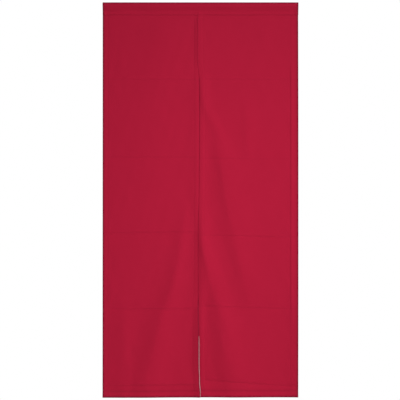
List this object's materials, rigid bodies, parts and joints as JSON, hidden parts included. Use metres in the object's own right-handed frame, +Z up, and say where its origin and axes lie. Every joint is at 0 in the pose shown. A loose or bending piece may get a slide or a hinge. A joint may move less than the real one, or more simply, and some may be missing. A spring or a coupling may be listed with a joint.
{
  "type": "noren curtain",
  "caption": "Long hemmed cloth door curtain with a central slit below its sewn head and an open sleeve across the top for a rod.",
  "frame": {"origin": "middle of the curtain's width, on the line inside the fold of the sleeve that bears on the rod", "axes": "+Z up, +X along the rod to the viewer's right, -Y towards the viewer, who sees the front"},
  "size_m": [0.85, 0.0244, 1.718],
  "materials": {
    "panel_cloth": "matt plain weave in deep crimson",
    "sleeve_cloth": "matt plain weave in deep crimson, doubled over the rod",
    "sewing_thread": "spun thread dyed to match the cloth"
  },
  "bodies": {
    "root": {"rod_sleeve": "sleeve_cloth", "left_panel": "panel_cloth", "right_panel": "panel_cloth"}
  },
  "joints": []
}
